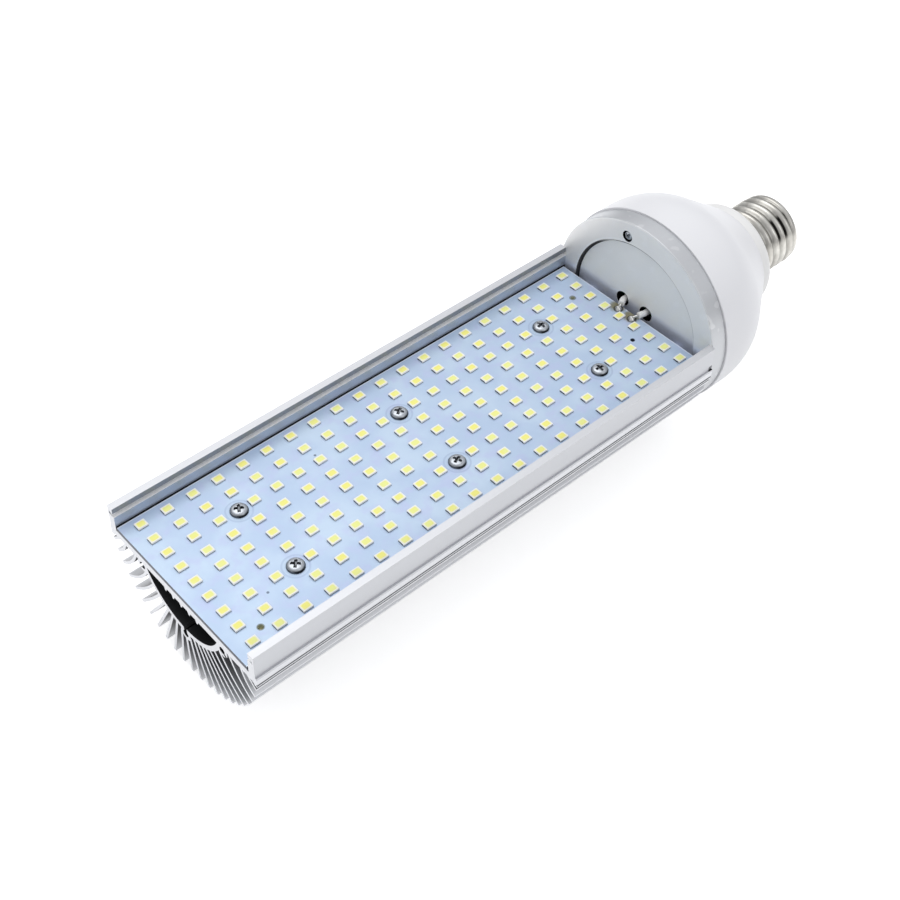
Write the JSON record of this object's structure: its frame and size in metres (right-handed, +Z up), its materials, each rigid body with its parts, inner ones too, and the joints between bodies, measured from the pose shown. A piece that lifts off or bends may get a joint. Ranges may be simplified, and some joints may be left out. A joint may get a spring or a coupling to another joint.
{
  "type": "led retrofit lamp",
  "caption": "One-sided LED street-light lamp: a board of LEDs on a finned heat sink, an end cap, a round driver housing and a screw base.",
  "frame": {"origin": "on the lamp's axis, where the screw shell leaves the neck collar", "axes": "+X along the axis towards the screw base's centre contact, +Y to the left, +Z up on the light side; the lamp lies on its finned back"},
  "size_m": [0.2622, 0.0716, 0.0714],
  "materials": {
    "extruded_aluminium": "satin extruded surface with fine lines along its length",
    "board_mask": "white solder mask over an aluminium core",
    "led_frame": "moulded white reflector cup",
    "led_phosphor": "yellow phosphor gel, unlit",
    "screw_steel": "bright zinc plate",
    "cap_aluminium": "turned face, satin",
    "housing_plastic": "satin white moulding",
    "collar_plastic": "satin warm white moulding",
    "shell_nickel": "nickel plate, rolled thread",
    "insulator_moulding": "dark moulded insulator",
    "contact_metal": "tinned brass",
    "board_green": "green solder mask",
    "winding_tape": "yellow tape over the winding",
    "ferrite": "dark grey ferrite",
    "capacitor_sleeve": "shrink sleeve",
    "component_body": "moulded body",
    "film_body": "dipped body",
    "lead_insulation": "white insulation",
    "solder": "tinned and soldered"
  },
  "bodies": {
    "root": {"heat_sink": "extruded_aluminium", "led_board": "board_mask", "led_packages": "led_frame", "led_phosphors": "led_phosphor", "board_screws": "screw_steel", "end_cap": "cap_aluminium", "cap_screws": "screw_steel", "sink_screws": "screw_steel", "driver_housing": "housing_plastic", "neck_collar": "collar_plastic", "screw_shell": "shell_nickel", "base_insulator": "insulator_moulding", "centre_contact": "contact_metal", "driver_board": "board_green", "transformer_winding": "winding_tape", "transformer_core": "ferrite", "input_capacitor": "capacitor_sleeve", "output_capacitor": "capacitor_sleeve", "film_capacitor": "film_body", "bridge_rectifier": "component_body", "fuse_resistor": "component_body", "line_choke": "ferrite", "control_chip": "component_body", "live_lead": "lead_insulation", "neutral_lead": "lead_insulation", "lead_positive": "lead_insulation", "lead_negative": "lead_insulation", "lead_tips": "solder", "solder_joints": "solder"}
  },
  "joints": []
}
